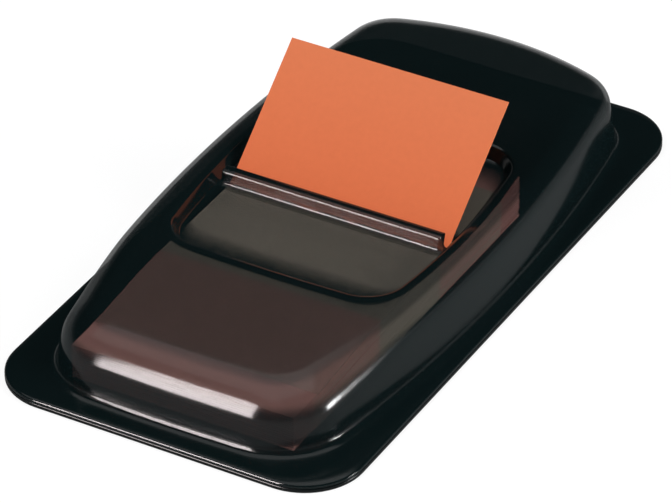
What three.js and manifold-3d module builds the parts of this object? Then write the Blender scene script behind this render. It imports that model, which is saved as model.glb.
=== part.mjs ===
// Sticky index tabs: a pack of film tabs under a smoked plastic cover, the top tab drawn half out of its slot.
// Millimetres, +Z up, +Y towards the back. The origin is in the middle of the underside.
import * as THREE from "three";
import { mergeVertices } from "three/addons/utils/BufferGeometryUtils.js";
import Module from "manifold-3d";

const wasm = await Module();
wasm.setup();

// Base sheet, and the cover's flange on it
const packWidth = 40;
const packLength = 76.5;
const packCorner = 6.5;
const baseThickness = 0.5;
const glueLine = 0.05;

// Cover: one thermoformed sheet, its dome measured where the flank meets the flange
const coverSheet = 0.4;
const coverHeight = 7.8;
const coverRise = 0.3;
const domeWidth = 37;
const domeLength = 72.1;
const domeMiddle = 0.35;
const domeSideRadius = 180;
const domeFrontBow = 200;
const domeBackBow = 36;
const domeFrontCorner = 7.8;
const domeBackCorner = 6.4;
const domeDraft = 9;
const domeShoulder = 2.6;
const domeFoot = 0.95;

// Recess in the cover's top, measured at its floor
const recessWidth = 26.4;
const recessLength = 29.2;
const recessMiddle = -0.2;
const recessDepth = 1.3;
const recessSideRadius = 84;
const recessEndBow = 200;
const recessCorner = 3.6;
const recessDraft = 32;
const recessEdge = 0.5;
const recessFloorFillet = 0.3;

// Slot across the recess, and the lip that the tab is drawn over
const slotBack = -0.35;
const slotWidth = 1.85;
const slotCorner = 0.4;
const slotSideGap = 0.4;
const lipWidth = 1.1;
const lipRise = 0.9;
const lipEndGap = 0.4;

// Tabs: film, coloured at one end, laid alternately end for end and a little apart
const tabWidth = 25.4;
const tabLength = 43.2;
const tabCorner = 0.4;
const filmThickness = 0.12;
const stagger = 4;
const stackHeight = 4.95;
const stackFrontGap = 2.7;

// The tab in the slot
const drawnOut = 15.3;
const drawnAngle = 39.5;
const drawnBend = 3;
const drawnShift = 0.2;
const drawnClearance = 0.2;

// Heights and places that follow from them
const flangeBottom = baseThickness + glueLine;
const flangeTop = flangeBottom + coverSheet;
const stackBottom = baseThickness + glueLine;
const stackTop = stackBottom + stackHeight;
const stackLength = tabLength + stagger;
const stackFront = domeMiddle - domeLength / 2 + coverSheet + stackFrontGap;
const recessFloor = coverHeight - recessDepth;
const slotFront = slotBack - slotWidth;
const arcSteps = { end: 4, corner: 8, side: 7 };

// Turns indexed or loose triangles into one solid that can be cut and joined
function solidOf(geometry) {
  const bare = new THREE.BufferGeometry();
  bare.setAttribute("position", geometry.getAttribute("position").clone());
  if (geometry.index) bare.setIndex(geometry.index.clone());
  const merged = mergeVertices(bare, 1e-5);
  return new wasm.Manifold(new wasm.Mesh({
    numProp: 3,
    vertProperties: new Float32Array(merged.getAttribute("position").array),
    triVerts: new Uint32Array(merged.index.array),
  }));
}

function geometryOf(solid) {
  const { numProp, vertProperties, triVerts } = solid.getMesh();
  const geometry = new THREE.BufferGeometry();
  geometry.setAttribute("position", new THREE.BufferAttribute(new Float32Array(vertProperties), numProp));
  geometry.setIndex(new THREE.BufferAttribute(new Uint32Array(triVerts), 1));
  const faceted = geometry.toNonIndexed();
  faceted.computeVertexNormals();
  return faceted;
}

function roundedRectangle(width, length, radius) {
  const x = width / 2 - radius;
  const y = length / 2 - radius;
  const shape = new THREE.Shape();
  shape.absarc(x, -y, radius, -Math.PI / 2, 0);
  shape.absarc(x, y, radius, 0, Math.PI / 2);
  shape.absarc(-x, y, radius, Math.PI / 2, Math.PI);
  shape.absarc(-x, -y, radius, Math.PI, Math.PI * 1.5);
  shape.closePath();
  return shape;
}

function plate(shape, thickness, z) {
  const geometry = new THREE.ExtrudeGeometry(shape, { depth: thickness, bevelEnabled: false, curveSegments: 10 });
  return geometry.translate(0, 0, z);
}

// Where the corner arc's centre lies, so that the arc runs smoothly into the side arc and the end arc.
// Way is -1 at the front and 1 at the back.
function cornerCentre(side, end, radius, way) {
  const across = end.centre.clone().sub(side.centre);
  const distance = across.length();
  const toSide = side.radius - radius;
  const toEnd = end.radius - radius;
  const along = (toSide ** 2 - toEnd ** 2 + distance ** 2) / (2 * distance);
  const off = Math.sqrt(toSide ** 2 - along ** 2);
  const unit = across.divideScalar(distance);
  const choices = [1, -1].map((way) => new THREE.Vector2(
    side.centre.x + unit.x * along - unit.y * off * way,
    side.centre.y + unit.y * along + unit.x * off * way,
  ));
  const reach = (point) => point.x + way * point.y;
  return choices.reduce((best, point) => (reach(point) > reach(best) ? point : best));
}

// The right half of a barrel outline, front to back: end arc, corner arc, bowed side, corner arc, end arc.
// Each arc keeps its centre and end angles when the outline is set inwards, and only its radius shrinks.
function barrelArcs({ width, length, middle, sideRadius, frontBow, backBow, frontCorner, backCorner }) {
  const side = { centre: new THREE.Vector2(width / 2 - sideRadius, middle), radius: sideRadius };
  const halves = [[-1, frontBow, frontCorner], [1, backBow, backCorner]].map(([way, bow, radius]) => {
    const end = { centre: new THREE.Vector2(0, middle + way * (length / 2 - bow)), radius: bow };
    const centre = cornerCentre(side, end, radius, way);
    const atEnd = centre.clone().sub(end.centre).angle();
    const atSide = centre.clone().sub(side.centre).angle();
    return { end, centre, radius, atEnd, atSide };
  });
  const turn = (angle) => (angle > Math.PI ? angle - 2 * Math.PI : angle);
  const [front, back] = halves;
  return [
    { ...front.end, from: -Math.PI / 2, to: turn(front.atEnd), steps: arcSteps.end },
    { centre: front.centre, radius: front.radius, from: turn(front.atEnd), to: turn(front.atSide), steps: arcSteps.corner },
    { ...side, from: turn(front.atSide), to: turn(back.atSide), steps: 2 * arcSteps.side },
    { centre: back.centre, radius: back.radius, from: turn(back.atSide), to: turn(back.atEnd), steps: arcSteps.corner },
    { ...back.end, from: turn(back.atEnd), to: Math.PI / 2, steps: arcSteps.end },
  ];
}

// One outline at one height. The cover's top climbs a little towards the back, so its rings climb with it.
function barrelRing(arcs, inset, z) {
  const climb = (Math.max(z - flangeTop, 0) / (coverHeight - flangeTop)) * (coverRise / (domeLength / 2));
  const right = [];
  for (const { centre, radius, from, to, steps } of arcs) {
    for (let k = right.length ? 1 : 0; k <= steps; k += 1) {
      const angle = from + ((to - from) * k) / steps;
      const r = radius - inset;
      const y = centre.y + r * Math.sin(angle);
      right.push(new THREE.Vector3(centre.x + r * Math.cos(angle), y, z + climb * y));
    }
  }
  const inner = right.slice(1, -1).reverse();
  right[0].x = 0;
  right[right.length - 1].x = 0;
  return [...right, ...inner.map((point) => new THREE.Vector3(-point.x, point.y, point.z))];
}

// A closed skin over rings of equal count, lowest ring first
function loft(rings) {
  const count = rings[0].length;
  const points = rings.flat();
  const faces = [];
  for (let row = 0; row + 1 < rings.length; row += 1) {
    for (let k = 0; k < count; k += 1) {
      const a = row * count + k;
      const b = row * count + ((k + 1) % count);
      faces.push(a, b, b + count, a, b + count, a + count);
    }
  }
  for (const [start, up] of [[0, false], [(rings.length - 1) * count, true]]) {
    const ring = points.slice(start, start + count);
    const middle = ring.reduce((sum, point) => sum.add(point), new THREE.Vector3()).divideScalar(count);
    const hub = points.push(middle) - 1;
    for (let k = 0; k < count; k += 1) {
      const a = start + k;
      const b = start + ((k + 1) % count);
      faces.push(hub, up ? a : b, up ? b : a);
    }
  }
  const geometry = new THREE.BufferGeometry().setFromPoints(points);
  geometry.setIndex(faces);
  return geometry;
}

// Section of a drafted step in the sheet, from its rounded upper edge down to its fillet: [out, z] pairs.
// Out is measured from the line where the flank would meet the lower level, towards the lower side.
// The sheet's back face lies one thickness behind: its arcs have the same centres.
function stepSection({ low, high, draft, edge, fillet, edgeSteps, filletSteps }, behind) {
  const lean = THREE.MathUtils.degToRad(draft);
  const edgeOut = -((high - edge - low) * Math.sin(lean) + edge) / Math.cos(lean);
  const filletOut = (fillet * (1 - Math.sin(lean))) / Math.cos(lean);
  const section = [];
  for (let k = 0; k <= edgeSteps; k += 1) {
    const angle = Math.PI / 2 + ((lean - Math.PI / 2) * k) / edgeSteps;
    const r = edge - behind;
    section.push([edgeOut + r * Math.cos(angle), high - edge + r * Math.sin(angle)]);
  }
  for (let k = 0; k <= filletSteps; k += 1) {
    const angle = Math.PI + lean + ((Math.PI / 2 - lean) * k) / filletSteps;
    const r = fillet + behind;
    section.push([filletOut + r * Math.cos(angle), low + fillet + r * Math.sin(angle)]);
  }
  return section;
}

// Cover
const domePlan = barrelArcs({
  width: domeWidth, length: domeLength, middle: domeMiddle, sideRadius: domeSideRadius,
  frontBow: domeFrontBow, backBow: domeBackBow, frontCorner: domeFrontCorner, backCorner: domeBackCorner,
});
const domeStep = {
  low: flangeTop, high: coverHeight, draft: domeDraft, edge: domeShoulder, fillet: domeFoot,
  edgeSteps: 8, filletSteps: 3,
};
const recessPlan = barrelArcs({
  width: recessWidth, length: recessLength, middle: recessMiddle, sideRadius: recessSideRadius,
  frontBow: recessEndBow, backBow: recessEndBow, frontCorner: recessCorner, backCorner: recessCorner,
});
const recessStep = {
  low: recessFloor, high: coverHeight, draft: recessDraft, edge: recessEdge, fillet: recessFloorFillet,
  edgeSteps: 3, filletSteps: 2,
};
const cutPast = 1;

function domeSolid(behind, bottom) {
  const rings = stepSection(domeStep, behind).reverse().map(([out, z]) => barrelRing(domePlan, -out, z));
  const foot = rings[0].map((point) => new THREE.Vector3(point.x, point.y, bottom));
  return solidOf(loft([foot, ...rings]));
}

function recessSolid(behind) {
  const rings = stepSection(recessStep, behind).reverse().map(([out, z]) => barrelRing(recessPlan, out, z));
  const above = rings.at(-1).map((point) => new THREE.Vector3(point.x, point.y, coverHeight + cutPast));
  return solidOf(loft([...rings, above]));
}

// The lip is a rounded bead along the slot's front edge
function lipSolid() {
  const radius = lipWidth / 2;
  const front = slotFront - lipWidth;
  const top = recessFloor + lipRise - radius;
  const section = new THREE.Shape();
  section.moveTo(front, recessFloor - coverSheet / 2);
  section.lineTo(front + lipWidth, recessFloor - coverSheet / 2);
  section.absarc(front + radius, top, radius, 0, Math.PI);
  section.closePath();
  const half = tabWidth / 2 + slotSideGap - lipEndGap;
  return solidOf(alongX(section, -half, half));
}

// Extrudes a shape drawn in the Y-Z plane along X
function alongX(shape, from, to) {
  const geometry = new THREE.ExtrudeGeometry(shape, { depth: to - from, bevelEnabled: false, curveSegments: 8 });
  const turned = new THREE.Matrix4().makeBasis(
    new THREE.Vector3(0, 1, 0), new THREE.Vector3(0, 0, 1), new THREE.Vector3(1, 0, 0),
  );
  return geometry.applyMatrix4(turned).translate(from, 0, 0);
}

function coverSolid() {
  const outline = roundedRectangle(packWidth, packLength, packCorner);
  const flange = solidOf(plate(outline, coverSheet, flangeBottom));
  const slotLength = tabWidth + 2 * slotSideGap;
  const slotShape = roundedRectangle(slotLength, slotWidth, slotCorner);
  const slot = solidOf(plate(slotShape, 2 * cutPast + lipRise, recessFloor - cutPast)).translate([0, slotBack - slotWidth / 2, 0]);
  const outside = flange.add(domeSolid(0, flangeBottom)).subtract(recessSolid(0));
  const hollow = domeSolid(coverSheet, flangeBottom - cutPast).subtract(recessSolid(coverSheet));
  return outside.subtract(hollow).add(lipSolid()).subtract(slot);
}

// A strip of film along a path in the Y-Z plane
function filmShape(path, thickness) {
  const shape = new THREE.Shape();
  const upper = path.map(({ y, z, angle }) => [y - thickness * Math.sin(angle), z + thickness * Math.cos(angle)]);
  shape.moveTo(path[0].y, path[0].z);
  for (const { y, z } of path.slice(1)) shape.lineTo(y, z);
  for (const [y, z] of upper.reverse()) shape.lineTo(y, z);
  shape.closePath();
  return shape;
}

// The drawn tab's underside: flat on the stack, bent up, and straight on over the slot's back edge
function drawnPath() {
  const lean = THREE.MathUtils.degToRad(drawnAngle);
  const bottom = stackTop + glueLine;
  const overEdge = { y: slotBack - drawnClearance * Math.sin(lean), z: recessFloor + drawnClearance * Math.cos(lean) };
  const bendRise = drawnBend * (1 - Math.cos(lean));
  const slope = (overEdge.z - bottom - bendRise) / Math.sin(lean);
  const bendStart = overEdge.y - slope * Math.cos(lean) - drawnBend * Math.sin(lean);
  const flat = tabLength - drawnOut - slope - drawnBend * lean;
  const path = [{ y: bendStart - flat, z: bottom, angle: 0 }];
  const bendSteps = 8;
  for (let k = 0; k <= bendSteps; k += 1) {
    const angle = (lean * k) / bendSteps;
    path.push({
      y: bendStart + drawnBend * Math.sin(angle),
      z: bottom + drawnBend * (1 - Math.cos(angle)),
      angle,
    });
  }
  path.push({
    y: overEdge.y + drawnOut * Math.cos(lean),
    z: overEdge.z + drawnOut * Math.sin(lean),
    angle: lean,
  });
  return path;
}

const smoked = new THREE.MeshStandardMaterial({ color: 0x15201f, roughness: 0.12, metalness: 0 });
const black = new THREE.MeshStandardMaterial({ color: 0x0a1112, roughness: 0.35, metalness: 0 });
const orangeFilm = new THREE.MeshStandardMaterial({ color: 0xe0774f, roughness: 0.45, metalness: 0 });
const packedFilm = new THREE.MeshStandardMaterial({ color: 0x9c5f48, roughness: 0.5, metalness: 0 });

const part = new THREE.Group();

function addPiece(name, geometry, material) {
  const mesh = new THREE.Mesh(geometry, material);
  mesh.name = name;
  part.add(mesh);
  return mesh;
}

addPiece("base_sheet", plate(roundedRectangle(packWidth, packLength, packCorner), baseThickness, 0), black);

addPiece("cover", geometryOf(coverSolid()), smoked);

const stackMiddle = stackFront + stackLength / 2;
addPiece("tab_stack", plate(roundedRectangle(tabWidth, stackLength, tabCorner), stackHeight, 0), packedFilm)
  .position.set(0, stackMiddle, stackBottom);

addPiece("drawn_tab", alongX(filmShape(drawnPath(), filmThickness), -tabWidth / 2, tabWidth / 2), orangeFilm)
  .position.set(drawnShift, 0, 0);

export default part;
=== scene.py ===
import math
import random
import bpy
from mathutils import Matrix, Vector


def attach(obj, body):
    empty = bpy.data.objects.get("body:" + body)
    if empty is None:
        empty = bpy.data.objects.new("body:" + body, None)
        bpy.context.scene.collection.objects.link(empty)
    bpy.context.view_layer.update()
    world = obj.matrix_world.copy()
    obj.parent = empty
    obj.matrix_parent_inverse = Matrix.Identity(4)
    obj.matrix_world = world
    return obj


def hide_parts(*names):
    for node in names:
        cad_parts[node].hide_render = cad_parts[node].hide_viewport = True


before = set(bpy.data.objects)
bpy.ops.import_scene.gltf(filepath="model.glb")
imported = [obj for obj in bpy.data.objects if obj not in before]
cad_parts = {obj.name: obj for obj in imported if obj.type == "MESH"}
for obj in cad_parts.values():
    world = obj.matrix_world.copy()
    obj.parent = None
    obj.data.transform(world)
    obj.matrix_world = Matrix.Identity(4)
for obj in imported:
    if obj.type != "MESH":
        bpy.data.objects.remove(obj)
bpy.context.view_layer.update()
print("frame loaded:", ", ".join(sorted(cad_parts)))

mm = 0.001
# faces along each stretch of an outline, the same in every ring
steps = {"end": 12, "corner": 16, "side": 40}


# small helpers

# sRGB code to linear colour
def linear(code):
    channels = [int(code[i:i + 2], 16) / 255 for i in (1, 3, 5)]
    return tuple(c / 12.92 if c <= 0.04045 else ((c + 0.055) / 1.055) ** 2.4 for c in channels) + (1.0,)


def addNode(tree, kind, settings=None, links=None):
    node = tree.nodes.new(kind)
    for name, value in (settings or {}).items():
        if isinstance(name, int) or name in node.inputs:
            node.inputs[name].default_value = value
        else:
            setattr(node, name, value)
    for name, source in (links or {}).items():
        tree.links.new(source, node.inputs[name])
    return node


def noise(tree, place, scale, detail):
    return addNode(tree, "ShaderNodeTexNoise", {"Scale": scale, "Detail": detail},
                   {"Vector": place.outputs["Object"]})


def mapTo(tree, source, low, high):
    return addNode(tree, "ShaderNodeMapRange", {"To Min": low, "To Max": high}, {"Value": source})


# 1 for what the camera sees, also in reflections, and 0 for the light that falls on other surfaces
def seenByCamera(tree, light):
    seen = addNode(tree, "ShaderNodeMath", {"operation": "MAXIMUM"},
                   {0: light.outputs["Is Camera Ray"], 1: light.outputs["Is Glossy Ray"]})
    return addNode(tree, "ShaderNodeMath", {"operation": "MAXIMUM"},
                   {0: seen.outputs[0], 1: light.outputs["Is Transmission Ray"]})


def newMaterial(name):
    material = bpy.data.materials.new(name)
    material.use_nodes = True
    tree = material.node_tree
    tree.nodes.clear()
    shader = tree.nodes.new("ShaderNodeBsdfPrincipled")
    addNode(tree, "ShaderNodeOutputMaterial", links={"Surface": shader.outputs["BSDF"]})
    return material, tree, shader


def deselectAll():
    if bpy.context.object and bpy.context.object.mode != "OBJECT":
        bpy.ops.object.mode_set(mode="OBJECT")
    bpy.ops.object.select_all(action="DESELECT")


def applyModifier(piece, kind, **settings):
    modifier = piece.modifiers.new(kind.title(), kind)
    for name, value in settings.items():
        setattr(modifier, name, value)
    bpy.context.view_layer.objects.active = piece
    bpy.ops.object.modifier_apply(modifier=modifier.name)


def finishPiece(piece, name, material, node, angle=30):
    piece.name = name
    piece.data.name = name
    piece.data.materials.clear()
    piece.data.materials.append(material)
    deselectAll()
    piece.select_set(True)
    bpy.context.view_layer.objects.active = piece
    bpy.ops.object.shade_smooth_by_angle(angle=math.radians(angle))
    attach(piece, "root")
    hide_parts(node)
    print(name, "ready,", len(piece.data.polygons), "faces")
    return piece


def smoothStep(low, high, value):
    t = min(max((value - low) / (high - low), 0.0), 1.0)
    return t * t * (3 - 2 * t)


# camera, from the photograph's outlines

cameraSize = {"azimuth": 29.465, "elevation": 34.326, "roll": -0.092, "distance": 535.95, "lens": 278.5,
              "sensor": 36.0, "target": (-1.06, 0.18, 0.0)}


def addCamera(size):
    data = bpy.data.cameras.new("camera")
    data.lens = size["lens"]
    data.sensor_width = size["sensor"]
    camera = bpy.data.objects.new("camera", data)
    bpy.context.scene.collection.objects.link(camera)
    azimuth, elevation = math.radians(size["azimuth"]), math.radians(size["elevation"])
    back = Vector((math.sin(azimuth) * math.cos(elevation), -math.cos(azimuth) * math.cos(elevation),
                   math.sin(elevation)))
    turn = (-back).to_track_quat("-Z", "Y").to_matrix().to_4x4()
    roll = Matrix.Rotation(math.radians(size["roll"]), 4, "Z")
    place = Matrix.Translation((Vector(size["target"]) + back * size["distance"]) * mm)
    camera.matrix_world = place @ turn @ roll
    bpy.context.scene.camera = camera


addCamera(cameraSize)
print("camera placed")


# materials

# Smoked PET sheet, vacuum-formed: near-black teal gloss, a little see-through by the smoke given to each
# ring
def smokedSheet():
    material, tree, shader = newMaterial("smoked PET sheet, vacuum-formed")
    shader.inputs["Base Color"].default_value = linear("#081213")
    shader.inputs["IOR"].default_value = 1.5
    shader.inputs["Specular IOR Level"].default_value = 0.5
    place = addNode(tree, "ShaderNodeTexCoord")
    handling = noise(tree, place, 90.0, 3.0)
    gloss = mapTo(tree, handling.outputs["Fac"], 0.09, 0.16)
    tree.links.new(gloss.outputs["Result"], shader.inputs["Roughness"])
    wave = noise(tree, place, 140.0, 1.0)
    bump = addNode(tree, "ShaderNodeBump", {"Strength": 0.08, "Distance": 0.05 * mm},
                   {"Height": wave.outputs["Fac"]})
    tree.links.new(bump.outputs["Normal"], shader.inputs["Normal"])
    smoke = addNode(tree, "ShaderNodeAttribute", {"attribute_name": "smoke"})
    light = addNode(tree, "ShaderNodeLightPath")
    # the sheet casts no shadow, so the lamps reach the pack
    lit = addNode(tree, "ShaderNodeMath", {"operation": "SUBTRACT", 0: 1.0},
                  {1: light.outputs["Is Shadow Ray"]})
    seen = addNode(tree, "ShaderNodeMath", {"operation": "MULTIPLY"},
                   {0: smoke.outputs["Fac"], 1: lit.outputs[0]})
    tree.links.new(seen.outputs[0], shader.inputs["Alpha"])
    return material


# Black polystyrene sheet: dark and glossy, with a fine haze
def blackSheet():
    material, tree, shader = newMaterial("black polystyrene sheet")
    shader.inputs["Base Color"].default_value = linear("#050a0b")
    shader.inputs["IOR"].default_value = 1.59
    shader.inputs["Specular IOR Level"].default_value = 0.3
    place = addNode(tree, "ShaderNodeTexCoord")
    haze = noise(tree, place, 400.0, 4.0)
    gloss = mapTo(tree, haze.outputs["Fac"], 0.16, 0.26)
    tree.links.new(gloss.outputs["Result"], shader.inputs["Roughness"])
    return material


# Polyester film, printed orange at one end and matt clear at the other
def tabFilm(name, bands, clearAlpha=1.0):
    material, tree, shader = newMaterial(name)
    shader.inputs["IOR"].default_value = 1.55
    shader.inputs["Specular IOR Level"].default_value = 0.1
    place = addNode(tree, "ShaderNodeTexCoord")
    path = addNode(tree, "ShaderNodeAttribute", {"attribute_name": "along"})
    ramp = addNode(tree, "ShaderNodeValToRGB", links={"Fac": path.outputs["Fac"]})
    while len(ramp.color_ramp.elements) < len(bands):
        ramp.color_ramp.elements.new(0.5)
    for element, (position, code) in zip(ramp.color_ramp.elements, bands):
        element.position = position
        element.color = linear(code)
    grain = noise(tree, place, 1500.0, 3.0)
    tone = mapTo(tree, grain.outputs["Fac"], 0.96, 1.04)
    tinted = addNode(tree, "ShaderNodeMix", {"data_type": "RGBA", "blend_type": "MULTIPLY", 0: 1.0},
                     {6: ramp.outputs["Color"], 7: tone.outputs["Result"]})
    tree.links.new(tinted.outputs[2], shader.inputs["Base Color"])
    gloss = mapTo(tree, grain.outputs["Fac"], 0.38, 0.5)
    tree.links.new(gloss.outputs["Result"], shader.inputs["Roughness"])
    if clearAlpha < 1:
        fade = {"From Min": bands[1][0], "From Max": bands[2][0], "To Min": clearAlpha, "To Max": 1.0}
        seen = addNode(tree, "ShaderNodeMapRange", fade, {"Value": path.outputs["Fac"]})
        tree.links.new(seen.outputs["Result"], shader.inputs["Alpha"])
    return material


# base sheet

baseSize = {"width": 40.0, "length": 76.5, "corner": 6.5, "thickness": 0.5, "rim": 0.15, "rimSteps": 4}


def edgesWhere(piece, test):
    bpy.ops.object.mode_set(mode="EDIT")
    bpy.ops.mesh.select_mode(type="EDGE")
    bpy.ops.mesh.select_all(action="DESELECT")
    bpy.ops.object.mode_set(mode="OBJECT")
    points = piece.data.vertices
    for edge in piece.data.edges:
        a, b = (points[i].co for i in edge.vertices)
        edge.select = test(a, b)
    bpy.ops.object.mode_set(mode="EDIT")


def buildBase(size):
    deselectAll()
    half = size["thickness"] * mm / 2
    bpy.ops.mesh.primitive_cube_add(size=1, location=(0, 0, half),
                                    scale=(size["width"] * mm, size["length"] * mm, 2 * half))
    base = bpy.context.object
    bpy.ops.object.transform_apply(location=True, rotation=True, scale=True)
    edgesWhere(base, lambda a, b: abs(a.z - b.z) > half)
    bpy.ops.mesh.bevel(offset=size["corner"] * mm, segments=steps["corner"], affect="EDGES")
    bpy.ops.object.mode_set(mode="OBJECT")
    edgesWhere(base, lambda a, b: abs(a.z - b.z) < half)
    bpy.ops.mesh.bevel(offset=size["rim"] * mm, segments=size["rimSteps"], affect="EDGES")
    bpy.ops.object.mode_set(mode="OBJECT")
    return finishPiece(base, "black_base_sheet", blackSheet(), "base_sheet")


buildBase(baseSize)


# cover: one sheet in rings of equal count, from the flange's edge in to the slot

coverSize = {
    "sheet": 0.4, "flangeTop": 0.95, "height": 7.8, "rise": 0.3,
    "rim": 0.28, "underRim": 0.07, "rimSteps": 4,
    "weld": 0.0005,  # closer points count as one
    "dome": {"width": 37.0, "length": 72.1, "middle": 0.35, "sideRadius": 180.0, "frontBow": 200.0,
             "backBow": 36.0, "frontCorner": 7.8, "backCorner": 6.4},
    "domeStep": {"low": 0.95, "high": 7.8, "draft": 9.0, "edge": 2.6, "fillet": 0.95,
                 "edgeSteps": 18, "wallSteps": 5, "filletSteps": 8},
    "recess": {"width": 26.4, "length": 29.2, "middle": -0.2, "sideRadius": 84.0, "frontBow": 200.0,
               "backBow": 200.0, "frontCorner": 3.6, "backCorner": 3.6},
    "recessStep": {"low": 6.5, "high": 7.8, "draft": 32.0, "edge": 0.5, "fillet": 0.3,
                   "edgeSteps": 6, "wallSteps": 2, "filletSteps": 4},
    "slot": {"back": -0.35, "width": 1.85, "length": 26.2, "corner": 0.4},
    # the front shoulder is rounder than the side ones and passes over into them from frontFrom to frontTo
    "frontEdge": 4.6, "frontFrom": -31.0, "frontTo": -15.0,
    # under: the heights of the lip's underside half-way out over the slot and at the slot's edge; from
    # darkTopFrom on, the lip's top is near black, painted shade along the slot
    "lip": {"half": 13.08, "endRun": 0.4, "front": 0.84, "back": -0.45, "height": 1.65, "darkTopFrom": 0.48,
            "foot": 0.4, "footSteps": 6, "edge": 0.4, "edgeSteps": 6, "backEdge": 0.25, "backSteps": 4,
            "under": (0.6, 0.1), "spread": (9.0, 6.0, 4.0, 2.5, 1.8, 1.4)},
    # rings between the shapes: shares of the way in over flange and top, and a band round the recess where
    # the sheet is near black, painted shade for the dark line at the recess's edge
    "flangeShares": (0.35, 0.7), "topShares": (0.08, 0.25, 0.5, 0.8),
    "edgeBand": 0.4, "bandShares": (1.3, 1.0),
    # shares of the shoulder's turn over which the sheet becomes more see-through and, near the top, less
    # again; the brighter reddish band this lets show over the shoulder is painted light
    "litBandIn": (0.1, 0.35), "litBandOut": (0.62, 0.8),
    # how much one face of the sheet holds back: 1 is black; edge, near black, is painted shade for the dark
    # line round the recess
    "smoke": {"flange": 0.92, "fillet": 0.55, "flank": 0.82, "shoulder": 0.52, "top": 0.68, "edge": 0.99,
              # lipTop, near black, is painted shade for the dark line along the slot
              "wall": 0.95, "floor": 0.53, "lip": 0.72, "lipTop": 0.99},
}


def cornerCentre(side, end, radius, way):
    across = end[0] - side[0]
    distance = across.length
    toSide, toEnd = side[1] - radius, end[1] - radius
    along = (toSide ** 2 - toEnd ** 2 + distance ** 2) / (2 * distance)
    off = math.sqrt(toSide ** 2 - along ** 2)
    unit = across / distance
    choices = [side[0] + unit * along + Vector((-unit.y, unit.x)) * off * turn for turn in (1, -1)]
    return max(choices, key=lambda point: point.x + way * point.y)


def barrelArcs(plan):
    side = (Vector((plan["width"] / 2 - plan["sideRadius"], plan["middle"])), plan["sideRadius"])
    arcs = []
    ends = ((-1, plan["frontBow"], plan["frontCorner"]), (1, plan["backBow"], plan["backCorner"]))
    for way, bow, radius in ends:
        end = (Vector((0, plan["middle"] + way * (plan["length"] / 2 - bow))), bow)
        centre = cornerCentre(side, end, radius, way)
        toEnd, toSide = centre - end[0], centre - side[0]
        atEnd, atSide = math.atan2(toEnd.y, toEnd.x), math.atan2(toSide.y, toSide.x)
        arcs.append((end, (centre, radius), atEnd, atSide))
    (frontEnd, frontCorner, a, b), (backEnd, backCorner, d, c) = arcs
    quarter = math.pi / 2
    return [(*frontEnd, -quarter, a, steps["end"]), (*frontCorner, a, b, steps["corner"]),
            (*side, b, c, steps["side"]), (*backCorner, c, d, steps["corner"]),
            (*backEnd, d, quarter, steps["end"])]


def climbed(points, z):
    share = max(z - coverSize["flangeTop"], 0) / (coverSize["height"] - coverSize["flangeTop"])
    climb = share * coverSize["rise"] / (coverSize["dome"]["length"] / 2)
    return [Vector((p.x, p.y, z + climb * p.y)) for p in points]


def wholeRing(right):
    right[0].x = right[-1].x = 0
    return right + [Vector((-p.x, p.y)) for p in reversed(right[1:-1])]


def barrelRing(arcs, outset, z):
    right = []
    for centre, radius, start, end, count in arcs:
        for k in range(1 if right else 0, count + 1):
            angle = start + (end - start) * k / count
            right.append(centre + Vector((math.cos(angle), math.sin(angle))) * (radius + outset))
    return climbed(wholeRing(right), z)


def boxRing(width, length, corner, middle, z):
    x, y = width / 2 - corner, length / 2 - corner
    right = [Vector((x * k / steps["end"], middle - length / 2)) for k in range(steps["end"])]
    for k in range(steps["corner"] + 1):
        angle = -math.pi / 2 + math.pi / 2 * k / steps["corner"]
        right.append(Vector((x + corner * math.cos(angle), middle - y + corner * math.sin(angle))))
    for k in range(1, steps["side"]):
        right.append(Vector((width / 2, middle - y + 2 * y * k / steps["side"])))
    for k in range(steps["corner"] + 1):
        angle = math.pi / 2 * k / steps["corner"]
        right.append(Vector((x + corner * math.cos(angle), middle + y + corner * math.sin(angle))))
    for k in range(1, steps["end"] + 1):
        right.append(Vector((x * (1 - k / steps["end"]), middle + length / 2)))
    return climbed(wholeRing(right), z)


# Section of a drafted step: its rounded upper edge, wall and fillet.
# The arcs of the sheet's back face have the same centres as those of its front face.
def stepSection(step, behind):
    lean = math.radians(step["draft"])
    edge, fillet, low, high = step["edge"], step["fillet"], step["low"], step["high"]
    edgeOut = -((high - edge - low) * math.sin(lean) + edge) / math.cos(lean)
    filletOut = fillet * (1 - math.sin(lean)) / math.cos(lean)
    section = []
    for k in range(step["edgeSteps"] + 1):
        angle = math.pi / 2 + (lean - math.pi / 2) * k / step["edgeSteps"]
        radius = edge - behind
        section.append((edgeOut + radius * math.cos(angle), high - edge + radius * math.sin(angle)))
    lower = []
    for k in range(step["filletSteps"] + 1):
        angle = math.pi + lean + (math.pi / 2 - lean) * k / step["filletSteps"]
        radius = fillet + behind
        lower.append((filletOut + radius * math.cos(angle), low + fillet + radius * math.sin(angle)))
    (out0, z0), (out1, z1) = section[-1], lower[0]
    for k in range(1, step["wallSteps"]):
        share = k / step["wallSteps"]
        section.append((out0 + (out1 - out0) * share, z0 + (z1 - z0) * share))
    return section + lower


def between(ringA, ringB, share):
    return [a.lerp(b, share) for a, b in zip(ringA, ringB)]


def flangeRing(inset, z):
    width, length, corner = (baseSize[key] for key in ("width", "length", "corner"))
    return boxRing(width - 2 * inset, length - 2 * inset, corner - inset, 0, z)


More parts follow.
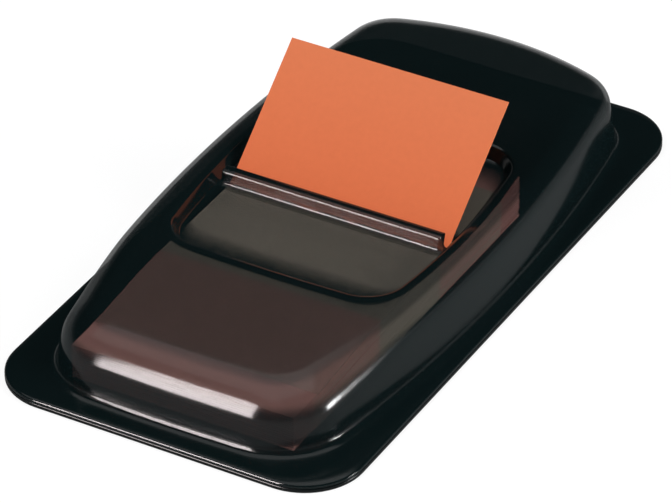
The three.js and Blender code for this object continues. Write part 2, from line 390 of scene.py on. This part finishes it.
# The dome's rings: the shoulder's radius grows from the sides to the front
def domeRings(size, behind):
    plan, step = barrelArcs(size["dome"]), size["domeStep"]
    sides = stepSection(step, behind)
    fronts = stepSection({**step, "edge": size["frontEdge"]}, behind)
    rings = []
    for (out, z), (frontOut, frontZ) in zip(reversed(sides), reversed(fronts)):
        atSides, atFront = barrelRing(plan, out, z), barrelRing(plan, frontOut, frontZ)
        share = [1 - smoothStep(size["frontFrom"], size["frontTo"], point.y) for point in atSides]
        rings.append([a.lerp(b, t) for a, b, t in zip(atSides, atFront, share)])
    return rings


def arc(across, up, radius, start, end, count):
    angles = [math.radians(start + (end - start) * k / count) for k in range(count + 1)]
    return [(across + radius * math.cos(a), up + radius * math.sin(a)) for a in angles]


# The lip's section, towards the front from the slot's edge and up: floor, foot, wall, front edge, top, back
def lipSection(lip):
    floor = [(offset, 0) for offset in lip["spread"]]
    foot = arc(lip["front"] + lip["foot"], lip["foot"], lip["foot"], 270, 180, lip["footSteps"])
    edge = arc(lip["front"] - lip["edge"], lip["height"] - lip["edge"], lip["edge"], 0, 90, lip["edgeSteps"])
    back = arc(lip["back"] + lip["backEdge"], lip["height"] - lip["backEdge"], lip["backEdge"], 90, 180,
               lip["backSteps"])
    halfWay, atSlot = lip["under"]
    return floor + foot + edge + back + [(lip["back"] / 2, halfWay), (0, atSlot), (0, 0)]


def slotRings(size, behind, recessEdge):
    slot, lip = size["slot"], size["lip"]
    level = size["recessStep"]["low"] - behind
    hole = boxRing(slot["length"], slot["width"], slot["corner"], slot["back"] - slot["width"] / 2, level)
    front = slot["back"] - slot["width"]
    reach = front - recessEdge[0].y
    rings = []
    for offset, rise in lipSection(lip):
        ring = between(hole, recessEdge, max(offset, 0) / reach)
        for point in ring:
            if point.y < front + size["weld"] and behind == 0:
                share = 1 - smoothStep(lip["half"] - lip["endRun"], lip["half"], abs(point.x))
                point.y -= min(offset, 0) * share
                point.z += rise * share
        # the lip's top is near black: painted shade for the dark line along the slot
        onTop = rise > lip["height"] / 2 and offset < lip["darkTopFrom"]
        rings.append((ring, size["smoke"]["lipTop" if onTop else "lip" if rise > 0 else "floor"]))
    return rings


# The rings of one face of the sheet with their smoke, from the flange's edge in to the slot
def faceRings(size, behind):
    smoke, rim = size["smoke"], size["rim" if behind == 0 else "underRim"]
    dome = domeRings(size, behind)
    recessPlan = barrelArcs(size["recess"])
    recess = [barrelRing(recessPlan, -out, z) for out, z in stepSection(size["recessStep"], behind)]
    way = 1 if behind == 0 else -1
    level = size["flangeTop"] - behind
    edge = [flangeRing(rim * (1 - math.sin(a)), level - way * rim * (1 - math.cos(a)))
            for a in (math.pi / 2 * (1 - k / size["rimSteps"]) for k in range(size["rimSteps"] + 1))]
    flange = edge + [between(edge[-1], dome[0], share) for share in size["flangeShares"]]
    band = [barrelRing(recessPlan, size["edgeBand"] * share - stepSection(size["recessStep"], behind)[0][0],
                       size["height"] - behind) for share in size["bandShares"]]
    top = [between(dome[-1], band[0], share) for share in size["topShares"]] + band[:1]
    wallFrom, shoulderFrom = size["domeStep"]["filletSteps"], len(dome) - size["domeStep"]["edgeSteps"]
    rings = [(ring, smoke["flange"]) for ring in flange]
    for k, ring in enumerate(dome):
        turned = (k - shoulderFrom) / size["domeStep"]["edgeSteps"]
        # more see-through over the shoulder: a painted light band where the lit pack shows through
        litBandIn, litBandOut = smoothStep(*size["litBandIn"], turned), smoothStep(*size["litBandOut"], turned)
        foot = "fillet" if wallFrom / 2 < k <= wallFrom else "flank"
        side = smoke[foot] + (smoke["shoulder"] - smoke[foot]) * litBandIn
        rings.append((ring, side + (smoke["top"] - side) * litBandOut))
    # the band and the recess's rounded edge are near black: painted shade along the recess's edge
    rings += [(ring, smoke["top"]) for ring in top] + [(band[1], smoke["edge"])]
    edgeSteps = size["recessStep"]["edgeSteps"]
    rings += [(ring, smoke["edge" if k < edgeSteps else "wall"]) for k, ring in enumerate(recess)]
    return rings + slotRings(size, behind, recess[-1])


def buildCover(size):
    rings = faceRings(size, 0) + faceRings(size, size["sheet"])[::-1]
    rings.append(rings[0])  # the last ring comes back to the first
    deselectAll()
    bpy.ops.mesh.primitive_circle_add(vertices=len(rings[0][0]), radius=size["dome"]["width"] / 2 * mm,
                                      fill_type="NOTHING", location=(0, 0, 0))
    cover = bpy.context.object
    bpy.ops.object.mode_set(mode="EDIT")
    bpy.ops.mesh.select_all(action="SELECT")
    for _ in rings[1:]:
        bpy.ops.mesh.extrude_edges_move(TRANSFORM_OT_translate={"value": (0, 0, mm)})
    bpy.ops.object.mode_set(mode="OBJECT")
    places = [c * mm for ring, _ in rings for point in ring for c in point]
    cover.data.vertices.foreach_set("co", places)
    smoke = cover.data.attributes.new("smoke", "FLOAT", "POINT")
    smoke.data.foreach_set("value", [value for ring, value in rings for _ in ring])
    cover.data.update()
    bpy.ops.object.mode_set(mode="EDIT")
    bpy.ops.mesh.select_all(action="SELECT")
    bpy.ops.mesh.remove_doubles(threshold=size["weld"] * mm)
    bpy.ops.mesh.normals_make_consistent(inside=False)
    bpy.ops.object.mode_set(mode="OBJECT")
    return finishPiece(cover, "smoked_cover", smokedSheet(), "cover", angle=40)


buildCover(coverSize)


# tabs

tabSize = {"width": 25.4, "length": 43.2, "film": 0.12, "coloured": 17.3, "out": 15.3, "angle": 39.5,
           "bend": 3.0, "shift": 0.2, "clearance": 0.2, "stackTop": 5.5, "glue": 0.05, "faces": (24, 120)}
stackSize = {"width": 25.4, "length": 43.2, "stagger": 4.0, "front": -32.6, "bottom": 0.55, "height": 4.95,
             "leaves": 30, "seed": 7, "sag": 1.1, "sagFrom": -31.0, "sagTo": -16.0, "faces": (4, 48),
             # how much a leaf may start late, be narrower and lie aside, and how much of the pitch it fills
             "late": 0.1, "narrower": 0.08, "aside": 0.04, "fill": 0.94}
# the orange tab's far end is painted lighter: painted light along the tab
tabColours = {"clear": "#b3a798", "orange": "#d4693f", "litOrangeEnd": "#d4744c", "packed": "#d69c93",
              "blend": 0.004, "clearAlpha": 0.1}


# The pack is thinner at the front, where every other leaf ends
def sag(y):
    return stackSize["sag"] * (1 - smoothStep(stackSize["sagFrom"], stackSize["sagTo"], y))


def sheetGrid(acrossFaces, alongFaces):
    deselectAll()
    bpy.ops.mesh.primitive_grid_add(x_subdivisions=acrossFaces, y_subdivisions=alongFaces, size=1,
                                    location=(0, 0, 0))
    return bpy.context.object


def setAlong(piece, values):
    along = piece.data.attributes.new("along", "FLOAT", "POINT")
    along.data.foreach_set("value", values)


# Colours along a tab: clear up to the print, then from the near colour to the far one at the end
def filmBands(near, far):
    clear = 1 - tabSize["coloured"] / tabSize["length"]
    return [(0.0, tabColours["clear"]), (clear - tabColours["blend"], tabColours["clear"]),
            (clear + tabColours["blend"], near), (1.0, far)]


def buildDrawnTab(size):
    lean = math.radians(size["angle"])
    bottom = size["stackTop"] + size["glue"]
    edgeY = coverSize["slot"]["back"] - size["clearance"] * math.sin(lean)
    edgeZ = coverSize["recessStep"]["low"] + size["clearance"] * math.cos(lean)
    slope = (edgeZ - bottom - size["bend"] * (1 - math.cos(lean))) / math.sin(lean)
    bendStart = edgeY - slope * math.cos(lean) - size["bend"] * math.sin(lean)
    flat = size["length"] - size["out"] - slope - size["bend"] * lean

    def onPath(distance):
        if distance < flat:
            y = bendStart - flat + distance
            return y, bottom - sag(y)
        turned = min((distance - flat) / size["bend"], lean)
        past = max(distance - flat - size["bend"] * lean, 0)
        return (bendStart + size["bend"] * math.sin(turned) + past * math.cos(lean),
                bottom + size["bend"] * (1 - math.cos(turned)) + past * math.sin(lean))

    tab = sheetGrid(*size["faces"])
    along = []
    for vertex in tab.data.vertices:
        distance = (vertex.co.y + 0.5) * size["length"]
        along.append(distance / size["length"])
        y, z = onPath(distance)
        vertex.co = Vector((vertex.co.x * size["width"] + size["shift"], y, z)) * mm
    setAlong(tab, along)
    applyModifier(tab, "SOLIDIFY", thickness=size["film"] * mm, offset=1, use_even_offset=True)
    # the far end is painted a lighter orange: painted light along the tab
    bands = filmBands(tabColours["orange"], tabColours["litOrangeEnd"])
    material = tabFilm("polyester film, orange tab", bands, tabColours["clearAlpha"])
    return finishPiece(tab, "drawn_tab_film", material, "drawn_tab")


buildDrawnTab(tabSize)


def buildStack(size):
    random.seed(size["seed"])
    pitch = size["height"] / size["leaves"]
    leaves = []
    for k in range(size["leaves"]):
        leaf = sheetGrid(*size["faces"])
        turned = k % 2 == 0  # the coloured end lies at the back
        front = size["front"] + (size["stagger"] if turned else 0) + random.uniform(0, size["late"])
        top = k == size["leaves"] - 1
        z = size["bottom"] + pitch * k
        wide = size["width"] - random.uniform(0, size["narrower"])
        slide = 0 if top else random.uniform(-size["aside"], size["aside"])
        length = size["length"] - size["late"]
        along = []
        for vertex in leaf.data.vertices:
            share = vertex.co.y + 0.5
            along.append(share if turned else 1 - share)
            y = front + share * length
            level = z * (1 - sag(y) / (size["bottom"] + size["height"]))
            vertex.co = Vector((vertex.co.x * (wide - 2 * abs(slide)) + slide, y, level)) * mm
        setAlong(leaf, along)
        applyModifier(leaf, "SOLIDIFY", thickness=pitch * size["fill"] * mm, offset=1)
        leaves.append(leaf)
    deselectAll()
    for leaf in leaves:
        leaf.select_set(True)
    bpy.context.view_layer.objects.active = leaves[0]
    bpy.ops.object.join()
    material = tabFilm("polyester film, packed tabs", filmBands(tabColours["packed"], tabColours["packed"]))
    return finishPiece(bpy.context.object, "packed_tabs", material, "tab_stack")


buildStack(stackSize)


# floor, lamps and world

# radius in metres, the camera's white, its share over the lit floor, and the darker level in reflections
floorSize = {"radius": 6, "sides": 96, "white": 1.04, "whiteShare": 0.82, "inReflections": 0.14}


def addFloor(size):
    deselectAll()
    bpy.ops.mesh.primitive_circle_add(vertices=size["sides"], radius=size["radius"], fill_type="NGON",
                                      location=(0, 0, 0))
    floor = bpy.context.object
    floor.name = "pale_floor"
    material, tree, shader = newMaterial("pale studio floor")
    shader.inputs["Base Color"].default_value = linear("#f2f2f2")
    shader.inputs["Roughness"].default_value = 0.9
    shader.inputs["Specular IOR Level"].default_value = 0.0
    output = next(node for node in tree.nodes if node.type == "OUTPUT_MATERIAL")
    light = addNode(tree, "ShaderNodeLightPath")
    shown = seenByCamera(tree, light)
    share = addNode(tree, "ShaderNodeMath", {"operation": "MULTIPLY", 1: size["whiteShare"]},
                    {0: shown.outputs[0]})
    level = mapTo(tree, light.outputs["Is Glossy Ray"], size["white"], size["inReflections"])
    white = addNode(tree, "ShaderNodeEmission", links={"Strength": level.outputs["Result"]})
    mixed = addNode(tree, "ShaderNodeMixShader", links={0: share.outputs[0], 1: shader.outputs["BSDF"],
                                                        2: white.outputs[0]})
    tree.links.new(mixed.outputs[0], output.inputs["Surface"])
    floor.data.materials.append(material)


# soft boxes for the colours, and glints that only show as reflections in the glossy sheet
lampSizes = {
    "overhead box": {"towards": (-0.1, 0.05, 1.0), "distance": 0.9, "width": 1.1, "height": 1.1,
                     "radiance": 0.75},
    "front left box": {"towards": (-0.48, -0.71, 0.515), "distance": 1.2, "width": 0.56, "height": 0.53,
                       "radiance": 9, "inGloss": False},
    "right box": {"towards": (0.92, 0.15, 0.36), "distance": 1.2, "width": 0.7, "height": 0.6,
                  "radiance": 11, "inGloss": False},
    "front left glint": {"towards": (-0.34, -0.87, 0.36), "distance": 1.2, "width": 0.43, "height": 0.71,
                         "radiance": 21, "tint": "#fff3f3", "inColour": False},
    "right glint": {"towards": (0.95, 0.31, 0.09), "distance": 1.2, "width": 0.3, "height": 0.18,
                    "radiance": 35, "inColour": False},
}


def addLamp(name, size):
    data = bpy.data.lights.new(name, "AREA")
    data.shape = "RECTANGLE"
    data.size = size["width"]
    data.size_y = size["height"]
    data.color = linear(size.get("tint", "#ffffff"))[:3]
    data.energy = size["radiance"] * math.pi * size["width"] * size["height"]
    lamp = bpy.data.objects.new(name, data)
    bpy.context.scene.collection.objects.link(lamp)
    lamp.visible_camera = False
    lamp.visible_glossy = size.get("inGloss", True)
    lamp.visible_diffuse = size.get("inColour", True)
    towards = Vector(size["towards"]).normalized()
    turn = towards.to_track_quat("Z", "Y").to_matrix().to_4x4()
    lamp.matrix_world = Matrix.Translation(towards * size["distance"]) @ turn


# a white band up to the height whiteTo, dark from darkFrom on, and a soft even light for the colours
worldSize = {"whiteTo": 0.06, "darkFrom": 0.16, "dark": 0.03, "inReflections": 0.3,
             "soft": 0.3, "softColour": "#e6eaec"}


def addWorld(size):
    world = bpy.data.worlds.new("studio")
    bpy.context.scene.world = world
    world.use_nodes = True
    tree = world.node_tree
    tree.nodes.clear()
    place = addNode(tree, "ShaderNodeTexCoord")
    height = addNode(tree, "ShaderNodeSeparateXYZ", links={0: place.outputs["Generated"]})
    fade = {"From Min": size["whiteTo"], "From Max": size["darkFrom"], "To Min": 1.0, "To Max": size["dark"],
            "interpolation_type": "SMOOTHSTEP"}
    backdrop = addNode(tree, "ShaderNodeMapRange", fade, {"Value": height.outputs["Z"]})
    light = addNode(tree, "ShaderNodeLightPath")
    level = mapTo(tree, light.outputs["Is Glossy Ray"], 1.0, size["inReflections"])
    shown = addNode(tree, "ShaderNodeBackground",
                    links={"Color": backdrop.outputs["Result"], "Strength": level.outputs["Result"]})
    soft = addNode(tree, "ShaderNodeBackground",
                   {"Color": linear(size["softColour"]), "Strength": size["soft"]})
    whole = seenByCamera(tree, light)
    mixed = addNode(tree, "ShaderNodeMixShader",
                    links={0: whole.outputs[0], 1: soft.outputs[0], 2: shown.outputs[0]})
    addNode(tree, "ShaderNodeOutputWorld", links={"Surface": mixed.outputs[0]})


addFloor(floorSize)
for lampName, lampSize in lampSizes.items():
    addLamp(lampName, lampSize)
addWorld(worldSize)
bpy.context.scene.view_settings.view_transform = "Standard"
print("floor, lamps and world ready")
